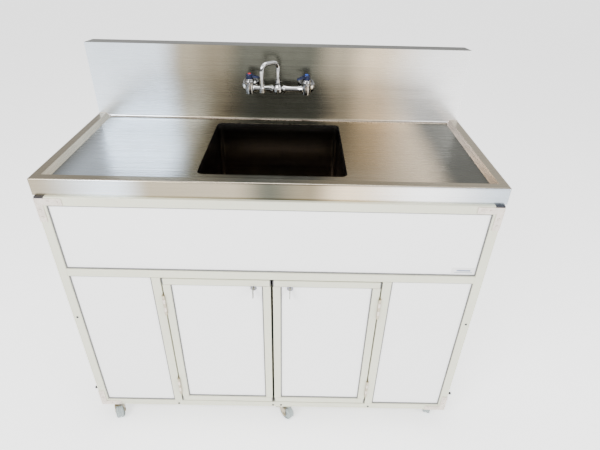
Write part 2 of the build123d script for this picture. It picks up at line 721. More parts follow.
FLANGE_CURVE = 26.0
SPOUT_BEND = 0.3 * SPOUT_REACH
COLLAR_GAP = 0.3
SPOUT_COLLAR = (2.3, 9.0)
AERATOR_LENGTH = 16.0
AERATOR_WALL = 2.2
AERATOR_EDGE = 1.5

with BuildPart() as faucet_body:
    for side in SIDES:
        x = side * FAUCET_SPREAD
        # the shank runs from the valve through the backsplash to an elbow behind it
        rod(facing_y(x, VALVE_Y, FAUCET_Z), SHANK_RADIUS, ELBOW_Y - VALVE_Y)
        elbow_top = Plane(origin=(x, ELBOW_Y, FAUCET_Z + ELBOW_RADIUS))
        rod(elbow_top, ELBOW_RADIUS, -(ELBOW_DROP + ELBOW_RADIUS))
        with BuildSketch(facing_y(x, VALVE_Y + WRENCH_START, FAUCET_Z)):
            RegularPolygon(WRENCH_HEX, 6)
        extrude(amount=WRENCH_DEPTH)
        with BuildSketch(facing_y(x, TRAY_REAR, FAUCET_Z)):
            RegularPolygon(BACK_NUT, 6)
        extrude(amount=BACK_NUT_DEPTH)
        rod(Plane(origin=(x, VALVE_Y, VALVE_BOTTOM)), VALVE_RADIUS, VALVE_TOP - VALVE_BOTTOM)
        band_start, band_height, band_proud = VALVE_BAND
        rod(Plane(origin=(x, VALVE_Y, VALVE_BOTTOM + band_start)), VALVE_RADIUS + band_proud, band_height)
    bar_plane = Plane(origin=(-FAUCET_SPREAD, VALVE_Y, FAUCET_Z), z_dir=(1, 0, 0))
    rod(bar_plane, BAR_RADIUS, 2 * FAUCET_SPREAD)
    # a bell-shaped hub in the middle carries the swinging spout
    with BuildSketch(Plane(origin=(0, VALVE_Y, 0), x_dir=(1, 0, 0), z_dir=(0, -1, 0))):
        with BuildLine():
            Polyline(
                (0, HUB_TOP),
                (0, FAUCET_Z - HUB_FOOT),
                (HUB_FOOT_RADIUS, FAUCET_Z - HUB_FOOT),
                (HUB_RADIUS, FAUCET_Z + HUB_SIDE[0]),
                (HUB_RADIUS, FAUCET_Z + HUB_SIDE[1]),
            )
            RadiusArc((HUB_RADIUS, FAUCET_Z + HUB_SIDE[1]), (HUB_NECK, HUB_TOP), HUB_CURVE)
            Line((HUB_NECK, HUB_TOP), (0, HUB_TOP))
        make_face()
    revolve(axis=Axis((0, VALVE_Y, 0), (0, 0, 1)))
    rod(Plane(origin=(0, VALVE_Y, HUB_TOP)), SPOUT_TUBE + RUNNING_FIT, -RISER_SEAT, mode=Mode.SUBTRACT)
save(faucet_body, "faucet_body")

with BuildPart() as faucet_flanges:
    for side in SIDES:
        flange_axis = Axis((side * FAUCET_SPREAD, 0, FAUCET_Z), (0, 1, 0))
        with BuildSketch(Plane(origin=(side * FAUCET_SPREAD, 0, FAUCET_Z))):
            with BuildLine():
                Polyline(
                    (SHANK_RADIUS, SPLASH_FACE - FLANGE_DEPTH),
                    (SHANK_RADIUS, SPLASH_FACE),
                    (FLANGE_RADIUS, SPLASH_FACE),
                    (FLANGE_RADIUS, SPLASH_FACE - FLANGE_EDGE),
                )
                rim = (FLANGE_RADIUS, SPLASH_FACE - FLANGE_EDGE)
                RadiusArc(rim, (SHANK_RADIUS, SPLASH_FACE - FLANGE_DEPTH), -FLANGE_CURVE)
            make_face()
        revolve(axis=flange_axis)
save(faucet_flanges, "faucet_flanges")

with BuildPart() as spout:
    turn = math.radians(SPOUT_TURN)
    reach_x = SPOUT_REACH * math.sin(turn)
    reach_y = VALVE_Y - SPOUT_REACH * math.cos(turn)
    route = (
        (0, VALVE_Y, HUB_TOP - RISER_SEAT + SEAT_GAP),
        (0, VALVE_Y, SPOUT_TOP),
        (reach_x, reach_y, SPOUT_TOP),
        (reach_x, reach_y, OUTLET_Z + AERATOR_LENGTH),
    )
    with BuildLine() as spout_path:
        FilletPolyline(*route, radius=SPOUT_BEND)
    with BuildSketch(Plane(origin=spout_path.line @ 0, z_dir=(0, 0, 1))):
        Circle(SPOUT_TUBE)
        Circle(SPOUT_BORE, mode=Mode.SUBTRACT)
    sweep(path=spout_path.line)
    collar_wall, collar_height = SPOUT_COLLAR
    ring(Plane(origin=(0, VALVE_Y, HUB_TOP + COLLAR_GAP)), SPOUT_TUBE + collar_wall, SPOUT_TUBE, collar_height)
spout_tube = spout.part
with BuildPart() as aerator:
    aerator_top = Plane(origin=(reach_x, reach_y, OUTLET_Z + AERATOR_LENGTH))
    ring(aerator_top, SPOUT_TUBE + AERATOR_WALL, SPOUT_BORE, -AERATOR_LENGTH)
    top_rims = aerator.edges().filter_by(GeomType.CIRCLE).group_by(Axis.Z)[-1]
    chamfer(top_rims.sort_by(SortBy.RADIUS)[-1], AERATOR_EDGE)
spout.part = Compound(children=[*spout_tube.solids(), *aerator.part.solids()])
save(spout, "spout")

LEVER_LENGTH = 33.0
LEVER_HUB = 11.5
LEVER_GAP = 0.4
LEVER_HUB_BOTTOM = VALVE_TOP + LEVER_GAP
LEVER_HUB_TOP = VALVE_TOP + 15.0
LEVER_ROOT = 3.0
LEVER_KNEE = 0.4
LEVER_EDGE = 3.0
LEVER_WIDTHS = (15.0, 10.0)
LEVER_THICKNESS = 5.0
LEVER_DROOP = 7.0
INDEX_RADIUS = 5.0
INDEX_HEIGHT = 1.5
INDEX_EDGE = 0.8


def make_lever(side, label, turn):
    """A lever handle on one valve: a domed hub, a drooping blade and a round index button."""
    x = side * FAUCET_SPREAD
    heading = Vector(-side, 0, 0).rotate(Axis.Z, turn)
    blade = Plane(origin=(x, VALVE_Y, 0), x_dir=tuple(heading), z_dir=tuple(heading.cross(Vector(0, 0, 1))))
    root_top = LEVER_HUB_TOP - LEVER_ROOT
    tip_top = root_top - LEVER_DROOP
    knee = LEVER_LENGTH * LEVER_KNEE
    root_half = LEVER_WIDTHS[0] / 2
    tip_half = LEVER_WIDTHS[1] / 2
    with BuildPart() as lever:
        with BuildSketch(blade) as profile:
            with BuildLine():
                Polyline(
                    (0, root_top),
                    (knee, root_top - 1),
                    (LEVER_LENGTH, tip_top),
                    (LEVER_LENGTH, tip_top - LEVER_THICKNESS + 1),
                    (knee, root_top - 2 - LEVER_THICKNESS),
                    (0, root_top - 1 - LEVER_THICKNESS),
                    close=True,
                )
            make_face()
        extrude(profile.sketch, amount=root_half, both=True)
        # the blade narrows towards its rounded tip
        plan = Plane(origin=(x, VALVE_Y, LEVER_HUB_BOTTOM), x_dir=tuple(heading), z_dir=(0, 0, 1))
        with BuildSketch(plan) as outline:
            with BuildLine():
                Polyline(
                    (LEVER_LENGTH - tip_half, tip_half),
                    (0, root_half),
                    (0, -root_half),
                    (LEVER_LENGTH - tip_half, -tip_half),
                )
                ThreePointArc(
                    (LEVER_LENGTH - tip_half, -tip_half),
                    (LEVER_LENGTH, 0),
                    (LEVER_LENGTH - tip_half, tip_half),
                )
            make_face()
        extrude(outline.sketch, amount=LEVER_HUB_TOP - LEVER_HUB_BOTTOM, mode=Mode.INTERSECT)
        rod(Plane(origin=(x, VALVE_Y, LEVER_HUB_BOTTOM)), LEVER_HUB, LEVER_HUB_TOP - LEVER_HUB_BOTTOM)
        top_rim = lever.edges().filter_by(GeomType.CIRCLE).group_by(Axis.Z)[-1]
        fillet(top_rim, LEVER_EDGE)
    with BuildPart() as index_button:
        rod(Plane(origin=(x, VALVE_Y, LEVER_HUB_TOP)), INDEX_RADIUS, INDEX_HEIGHT)
        fillet(index_button.edges().group_by(Axis.Z)[-1], INDEX_EDGE)
    lever.part = Compound(children=[*lever.part.solids(), *index_button.part.solids()])
    save(lever, label)


make_lever(-1, "hot_handle", 0.0)
make_lever(1, "cold_handle", RIGHT_LEVER_TURN)

# ---------------------------------------------------------------- tanks
TANK_FOOT = FLOOR_TOP
CAP_RADIUS = 33.0
CAP_GAP = 0.4
CAP_SKIRT = 16.0
CAP_TOP = 4.0
RIBS = 18
HANDLE_LENGTH = 120.0
HANDLE_RISE = 34.0
HANDLE_BAR = (22.0, 12.0)
HANDLE_EDGE = 4.0
TANK_SIDE_CORNER = 34.0
TANK_TOP_EDGE = 22.0
TANK_FOOT_EDGE = 12.0
RIB_RADIUS = 1.6
CAP_LID_STEP = 1.0


def make_tank(label, centre_x, size):
    """A blow-moulded tank with rounded edges, a neck on top and a carrying handle."""
    width, depth, height = size
    top = TANK_FOOT + height
    with BuildPart() as tank:
        box_between(
            (centre_x - width / 2, TANK_CENTRE_Y - depth / 2, TANK_FOOT),
            (centre_x + width / 2, TANK_CENTRE_Y + depth / 2, top),
        )
        fillet(tank.edges().filter_by(Axis.Z), TANK_SIDE_CORNER)
        fillet(tank.edges().group_by(Axis.Z)[-1], TANK_TOP_EDGE)
        fillet(tank.edges().group_by(Axis.Z)[0], TANK_FOOT_EDGE)
        inside = offset(tank.part, amount=-TANK_WALL, mode=Mode.PRIVATE)
        rod(Plane(origin=(centre_x, BASIN_CENTRE_Y, top - TANK_WALL)), NECK_RADIUS,
            NECK_HEIGHT + TANK_WALL)
        add(inside, mode=Mode.SUBTRACT)
        rod(Plane(origin=(centre_x, BASIN_CENTRE_Y, top + NECK_HEIGHT)), NECK_RADIUS - TANK_WALL,
            -(NECK_HEIGHT + 3 * TANK_WALL), mode=Mode.SUBTRACT)
        # the handle bridges the top in front of the neck
        handle_y = TANK_CENTRE_Y - depth / 4
        bar_low = top + HANDLE_RISE - HANDLE_BAR[1]
        for end in SIDES:
            post_x = centre_x + end * (HANDLE_LENGTH - HANDLE_BAR[0]) / 2
            box_between((post_x - HANDLE_BAR[0] / 2, handle_y - HANDLE_BAR[0] / 2, top - TANK_WALL / 2),
                        (post_x + HANDLE_BAR[0] / 2, handle_y + HANDLE_BAR[0] / 2, bar_low))
        box_between((centre_x - HANDLE_LENGTH / 2, handle_y - HANDLE_BAR[0] / 2, bar_low),
                    (centre_x + HANDLE_LENGTH / 2, handle_y + HANDLE_BAR[0] / 2, top + HANDLE_RISE))
        fillet(tank.edges().filter_by(Axis.X).group_by(Axis.Z)[-1], HANDLE_EDGE)
    save(tank, label)


def make_cap(label, centre_x, tank_height, hose_radius):
    """A ribbed screw cap that turns on the tank's neck around the hose that passes through it."""
    base = TANK_FOOT + tank_height + NECK_HEIGHT - CAP_SKIRT
    with BuildPart() as cap:
        with BuildSketch(Plane(origin=(centre_x, BASIN_CENTRE_Y, base))):
            Circle(CAP_RADIUS)
            with PolarLocations(CAP_RADIUS, RIBS):
                Circle(RIB_RADIUS, mode=Mode.SUBTRACT)
            Circle(NECK_RADIUS + CAP_GAP, mode=Mode.SUBTRACT)
        extrude(amount=CAP_SKIRT + CAP_GAP)
        with BuildSketch(Plane(origin=(centre_x, BASIN_CENTRE_Y, base + CAP_SKIRT + CAP_GAP))):
            Circle(CAP_RADIUS - CAP_LID_STEP)
            Circle(hose_radius + CAP_GAP, mode=Mode.SUBTRACT)
        extrude(amount=CAP_TOP)
    save(cap, label)


make_tank("waste_water_tank", -TANK_X, WASTE_TANK)
make_tank("fresh_water_tank", TANK_X, FRESH_TANK)
make_cap("waste_tank_cap", -TANK_X, WASTE_TANK[2], DRAIN_HOSE_RADIUS)
make_cap("fresh_tank_cap", TANK_X, FRESH_TANK[2], SUPPLY_HOSE_RADIUS)

# ---------------------------------------------------------------- pump, heater and power inlet
PUMP_X = 450.0
PUMP_Y = 30.0
PUMP_FOOT = 5.0
MOTOR_RADIUS = 36.0
PUMP_BASE = (100.0, 180.0, 4.0)
PUMP_FEET = (38.0, 78.0)
PUMP_FOOT_RADIUS = 9.0
MOTOR_CLEARANCE = 4.0
MOTOR_LENGTH = 108.0
MOTOR_END_CAP = (30.0, 8.0)
SADDLE_HALF_WIDTH = 20.0
SADDLE_REACH = (-20.0, 60.0)
PUMP_HEAD = (76.0, 54.0)
PUMP_HEAD_RISE = 38.0
PUMP_HEAD_BACK = 34.0
PUMP_HEAD_EDGE = 10.0
PORT_PITCH = 24.0
PORT_RISE = 62.0
PUMP_AXIS_Z = FLOOR_TOP + PUMP_FOOT + PUMP_BASE[2] + MOTOR_RADIUS + MOTOR_CLEARANCE
PORT_RADIUS = 8.0
PUMP_PORT_TOP = PUMP_AXIS_Z + PORT_RISE
INLET_PORT_X = PUMP_X - PORT_PITCH
COLD_PORT_X = PUMP_X
HEATER_FEED_X = PUMP_X + PORT_PITCH
PUMP_HEAD_Y = PUMP_Y - PORT_RISE

with BuildPart() as water_pump:
    base_width, base_depth, base_sheet = PUMP_BASE
    base_low = FLOOR_TOP + PUMP_FOOT
    base_top = base_low + base_sheet
    head_top = PUMP_AXIS_Z + PUMP_HEAD_RISE
    head_rear = PUMP_Y - PUMP_HEAD_BACK
    box_between(
        (PUMP_X - base_width / 2, PUMP_Y - base_depth / 2, base_low),
        (PUMP_X + base_width / 2, PUMP_Y + base_depth / 2, base_top),
    )
    for x in (PUMP_X - PUMP_FEET[0], PUMP_X + PUMP_FEET[0]):
        for y in (PUMP_Y - PUMP_FEET[1], PUMP_Y + PUMP_FEET[1]):
            rod(Plane(origin=(x, y, FLOOR_TOP)), PUMP_FOOT_RADIUS, PUMP_FOOT)
    box_between(
        (PUMP_X - SADDLE_HALF_WIDTH, PUMP_Y + SADDLE_REACH[0], base_top),
        (PUMP_X + SADDLE_HALF_WIDTH, PUMP_Y + SADDLE_REACH[1], PUMP_AXIS_Z),
    )
    rod(facing_y(PUMP_X, head_rear, PUMP_AXIS_Z), MOTOR_RADIUS, MOTOR_LENGTH)
    rod(facing_y(PUMP_X, head_rear + MOTOR_LENGTH, PUMP_AXIS_Z), *MOTOR_END_CAP)
    box_between(
        (PUMP_X - PUMP_HEAD[0] / 2, head_rear - PUMP_HEAD[1], base_top),
        (PUMP_X + PUMP_HEAD[0] / 2, head_rear, head_top),
    )
    fillet(water_pump.edges().filter_by(Axis.Y).group_by(Axis.Z)[-1], PUMP_HEAD_EDGE)
    for x in (INLET_PORT_X, COLD_PORT_X, HEATER_FEED_X):
        rod(Plane(origin=(x, PUMP_HEAD_Y, head_top)), PORT_RADIUS, PUMP_PORT_TOP - head_top)
save(water_pump, "water_pump")

HEATER_X = -455.0
HEATER_Y = 20.0
HEATER_SIZE = (190.0, 200.0, 300.0)
HEATER_TOP = FLOOR_TOP + PUMP_FOOT + HEATER_SIZE[2]
HEATER_PORT_RISE = 18.0
HEATER_PORT_HALF_SPREAD = 50.0
HEATER_PORT_TOP = HEATER_TOP + HEATER_PORT_RISE
HEATER_PORT_Y = HEATER_Y + 40.0
HOT_PORT_X = HEATER_X + HEATER_PORT_HALF_SPREAD
FEED_PORT_X = HEATER_X - HEATER_PORT_HALF_SPREAD
HEATER_SIDE_CORNER = 20.0
HEATER_TOP_EDGE = 8.0
HEATER_FEET = (70.0, 75.0)
HEATER_FOOT_RADIUS = 11.0
THERMOSTAT_RADIUS = 17.0
THERMOSTAT_DEPTH = 12.0
THERMOSTAT_DROP = 0.3

with BuildPart() as water_heater:
    width, depth, height = HEATER_SIZE
    box_between((HEATER_X - width / 2, HEATER_Y - depth / 2, HEATER_TOP - height),
                (HEATER_X + width / 2, HEATER_Y + depth / 2, HEATER_TOP))
    fillet(water_heater.edges().filter_by(Axis.Z), HEATER_SIDE_CORNER)
    fillet(water_heater.edges().group_by(Axis.Z)[-1], HEATER_TOP_EDGE)
    heater_inside = offset(water_heater.part, amount=-TANK_WALL, mode=Mode.PRIVATE)
    add(heater_inside, mode=Mode.SUBTRACT)
    for x in (HEATER_X - HEATER_FEET[0], HEATER_X + HEATER_FEET[0]):
        for y in (HEATER_Y - HEATER_FEET[1], HEATER_Y + HEATER_FEET[1]):
            rod(Plane(origin=(x, y, FLOOR_TOP)), HEATER_FOOT_RADIUS, PUMP_FOOT)
    for x in (HOT_PORT_X, FEED_PORT_X):
        rod(Plane(origin=(x, HEATER_PORT_Y, HEATER_TOP)), PORT_RADIUS, HEATER_PORT_RISE)
    dial_z = HEATER_TOP - THERMOSTAT_DROP * height
    rod(facing_y(HEATER_X, HEATER_Y - depth / 2, dial_z), THERMOSTAT_RADIUS, -THERMOSTAT_DEPTH)
save(water_heater, "water_heater")

INLET_FLANGE = (50.0, 34.0)
INLET_BODY_DEPTH = 32.0
INLET_PINS = (-9.0, 0.0, 9.0)
INLET_PIN = (2.0, 15.5, 6.0)
INLET_CORNER = 4.0
INLET_FLANGE_DEPTH = 3.0
INLET_SOCKET = (28.0, 18.0)
INLET_SOCKET_CORNER = 3.0
INLET_SOCKET_DEPTH = 18.0
with BuildPart() as power_inlet:
    outer_y = REAR_PANEL_Y + PANEL
    with BuildSketch(facing_y(INLET_X, outer_y, INLET_Z)):
        RectangleRounded(*INLET_FLANGE, INLET_CORNER)
    extrude(amount=INLET_FLANGE_DEPTH)
    with BuildSketch(facing_y(INLET_X, outer_y, INLET_Z)):
        Rectangle(*INLET_CUTOUT)
    extrude(amount=-INLET_BODY_DEPTH)
    with BuildSketch(facing_y(INLET_X, outer_y + INLET_FLANGE_DEPTH, INLET_Z)):
        RectangleRounded(*INLET_SOCKET, INLET_SOCKET_CORNER)
    extrude(amount=-INLET_SOCKET_DEPTH, mode=Mode.SUBTRACT)
    pin_width, pin_depth, pin_height = INLET_PIN
    for offset_x in INLET_PINS:
        x = INLET_X + offset_x
        box_between(
            (x - pin_width / 2, outer_y - pin_depth, INLET_Z - pin_height / 2),
            (x + pin_width / 2, outer_y, INLET_Z + pin_height / 2),
        )
save(power_inlet, "power_inlet")

# ---------------------------------------------------------------- hoses
TANK_MOUTH_Z = TANK_FOOT + WASTE_TANK[2] + NECK_HEIGHT
with BuildPart() as drain_hose:
    hose_along(
        [
            (0, BASIN_CENTRE_Y, TAIL_BOTTOM),
            (-2, BASIN_CENTRE_Y, TAIL_BOTTOM - 34),
            (-44, BASIN_CENTRE_Y, TAIL_BOTTOM - 66),
            (-108, BASIN_CENTRE_Y, TANK_MOUTH_Z + 70),
            (-TANK_X, BASIN_CENTRE_Y, TANK_MOUTH_Z + 36),
            (-TANK_X, BASIN_CENTRE_Y, TANK_MOUTH_Z - 26),
        ],
        DRAIN_HOSE_RADIUS,
        DRAIN_HOSE_RADIUS - HOSE_WALL,
    )
save(drain_hose, "drain_hose")

FRESH_MOUTH_Z = TANK_FOOT + FRESH_TANK[2] + NECK_HEIGHT
with BuildPart() as supply_hose:
    hose_along(
        [
            (TANK_X, BASIN_CENTRE_Y, TANK_FOOT + 3 * TANK_WALL),
            (TANK_X, BASIN_CENTRE_Y, FRESH_MOUTH_Z + 54),
            (TANK_X + 38, BASIN_CENTRE_Y + 4, FRESH_MOUTH_Z + 124),
            (TANK_X + 122, BASIN_CENTRE_Y, FRESH_MOUTH_Z + 132),
            (TANK_X + 214, BASIN_CENTRE_Y - 16, FRESH_MOUTH_Z + 66),
            (INLET_PORT_X, PUMP_HEAD_Y, PUMP_PORT_TOP + 110),
            (INLET_PORT_X, PUMP_HEAD_Y, PUMP_PORT_TOP),
        ],
        SUPPLY_HOSE_RADIUS,
        SUPPLY_HOSE_RADIUS - HOSE_WALL,
    )
save(supply_hose, "supply_hose")

ELBOW_BOTTOM = FAUCET_Z - ELBOW_DROP
BEHIND_TANKS_Y = 168.0


def rise_to_elbow(side):
    """The end of a water line: out through the rear panel's slot and up behind the backsplash."""
    x = side * FAUCET_SPREAD
    return [
        (x, 213, HOSE_SLOT_Z - 150),
        (x, 222, HOSE_SLOT_Z - 68),
        (x, 247, HOSE_SLOT_Z + 10),
        (x, ELBOW_Y, HOSE_SLOT_Z + 92),
        (x, ELBOW_Y, ELBOW_BOTTOM),
    ]


with BuildPart() as pressure_hoses:
    hose_along(
        [
            (COLD_PORT_X, PUMP_HEAD_Y, PUMP_PORT_TOP),
            (COLD_PORT_X, PUMP_HEAD_Y, PUMP_PORT_TOP + 96),
            (COLD_PORT_X - 40, PUMP_HEAD_Y + 74, PUMP_PORT_TOP + 200),
            (COLD_PORT_X - 130, BEHIND_TANKS_Y - 40, PUMP_PORT_TOP + 290),
            (COLD_PORT_X - 262, BEHIND_TANKS_Y, PUMP_PORT_TOP + 368),
            *rise_to_elbow(1),
        ],
        WATER_HOSE_RADIUS,
        WATER_HOSE_RADIUS - HOSE_WALL,
    )
    hose_along(
        [
            (HEATER_FEED_X, PUMP_HEAD_Y, PUMP_PORT_TOP),
            (HEATER_FEED_X, PUMP_HEAD_Y, PUMP_PORT_TOP + 62),
            (HEATER_FEED_X + 12, PUMP_HEAD_Y + 92, PUMP_PORT_TOP + 92),
            (HEATER_FEED_X - 20, BEHIND_TANKS_Y - 24, PUMP_PORT_TOP + 24),
            (HEATER_FEED_X - 130, BEHIND_TANKS_Y + 14, PUMP_PORT_TOP - 50),
            (HEATER_FEED_X - 290, BEHIND_TANKS_Y + 6, PUMP_PORT_TOP - 72),
            (HEATER_FEED_X - 460, BEHIND_TANKS_Y + 12, PUMP_PORT_TOP - 66),
            (HEATER_FEED_X - 620, BEHIND_TANKS_Y, PUMP_PORT_TOP - 38),
            (HEATER_FEED_X - 770, BEHIND_TANKS_Y + 8, PUMP_PORT_TOP + 20),
            (FEED_PORT_X + 60, BEHIND_TANKS_Y, PUMP_PORT_TOP + 150),
            (FEED_PORT_X + 14, HEATER_PORT_Y + 66, HEATER_PORT_TOP + 48),
            (FEED_PORT_X, HEATER_PORT_Y, HEATER_PORT_TOP + 66),
            (FEED_PORT_X, HEATER_PORT_Y, HEATER_PORT_TOP),
        ],
        WATER_HOSE_RADIUS,
        WATER_HOSE_RADIUS - HOSE_WALL,
    )
save(pressure_hoses, "pressure_hoses")

with BuildPart() as hot_hose:
    hose_along(
        [
            (HOT_PORT_X, HEATER_PORT_Y, HEATER_PORT_TOP),
            (HOT_PORT_X, HEATER_PORT_Y, HEATER_PORT_TOP + 70),
            (HOT_PORT_X + 60, HEATER_PORT_Y + 50, HEATER_PORT_TOP + 150),
            (HOT_PORT_X + 190, BEHIND_TANKS_Y - 10, HEATER_PORT_TOP + 196),
            *rise_to_elbow(-1),
        ],
        WATER_HOSE_RADIUS,
        WATER_HOSE_RADIUS - HOSE_WALL,
    )
save(hot_hose, "hot_hose")

# ---------------------------------------------------------------- doors
DOOR_WIDTH = DOOR_OUTER_X - DOOR_INNER_X
DOOR_MIDDLE_X = (DOOR_INNER_X + DOOR_OUTER_X) / 2
DOOR_MIDDLE_Z = (DOOR_BOTTOM + DOOR_TOP) / 2
DOOR_HEIGHT = DOOR_TOP - DOOR_BOTTOM
DOOR_TUBE_Y = CABINET_FRONT + DOOR_TUBE / 2
DOOR_OPENING = (DOOR_WIDTH - 2 * DOOR_TUBE, DOOR_HEIGHT - 2 * DOOR_TUBE)
KEY_THICKNESS = 2.2
KEY_BOW = (24.0, 27.0)
KEY_CLEARANCE = 0.06
KEY_BLADE = 6.0
NUT_THICKNESS = 3.0
PLUG_RECESS = 0.5
KEYWAY_DEPTH = 17.0
KEY_SHANK = 16.0
KEY_SHANK_START = 8.0
KEY_SHOULDER = (4.0, 9.0)
KEY_BOW_CORNER = 7.0
KEY_BOW_DROP = -5.0
KEY_RING_HOLE = 2.4
KEY_RING_PLACE = (-17.0, -12.0)
CAM_TAIL = 8.0
CAM_WIDTH = 15.0
CAM_CORNER = 5.0
CAM_BOLT_RADIUS = 5.5
CAM_BOLT_HEAD = 3.5


def knuckle_spans(middle_z, owners):
    """The height spans of the hinge knuckles that one leaf owns, as (bottom, top) pairs."""
    pitch = HINGE_LENGTH / KNUCKLES
    bottom = middle_z - HINGE_LENGTH / 2
    return [(bottom + number * pitch + KNUCKLE_GAP / 2, bottom + (number + 1) * pitch - KNUCKLE_GAP / 2)
            for number in owners]


def hinge_leaf(side, middle_z, owners, toward, bore):
    """Adds one hinge leaf; toward is the way its plate lies from the pin, in X."""
    x = side * HINGE_X
    near = x + toward * LEAF_OFFSET
    far = near + toward * LEAF
    low_x, high_x = sorted((near, far))
    bottom = middle_z - HINGE_LENGTH / 2
    box_between(
        (low_x, HINGE_Y + BARREL_RADIUS + LEAF_CLEARANCE, bottom),
        (high_x, HINGE_Y + LEAF_DEPTH, bottom + HINGE_LENGTH),
    )
    for low, high in knuckle_spans(middle_z, owners):
        rod(Plane(origin=(x, HINGE_Y, low)), BARREL_RADIUS, high - low)
        box_between((low_x, HINGE_Y, low), (high_x, HINGE_Y + BARREL_RADIUS + 2 * LEAF_CLEARANCE, high))
        rod(Plane(origin=(x, HINGE_Y, low)), bore, high - low, mode=Mode.SUBTRACT)


with BuildPart() as hinge_frame_leaves:
    for side in SIDES:
        for middle_z in HINGE_HEIGHTS:
            hinge_leaf(side, middle_z, (0, 2, 4), side, PIN_RADIUS)
with BuildPart() as hinge_pins:
    for side in SIDES:
        for middle_z in HINGE_HEIGHTS:
            bottom = middle_z - HINGE_LENGTH / 2 + KNUCKLE_GAP
            pin_plane = Plane(origin=(side * HINGE_X, HINGE_Y, bottom))
            rod(pin_plane, PIN_RADIUS, HINGE_LENGTH - 2 * KNUCKLE_GAP)
hinge_frame_leaves.part = Compound(
    children=[*hinge_frame_leaves.part.solids(), *hinge_pins.part.solids()]
)
save(hinge_frame_leaves, "hinge_frame_leaves")


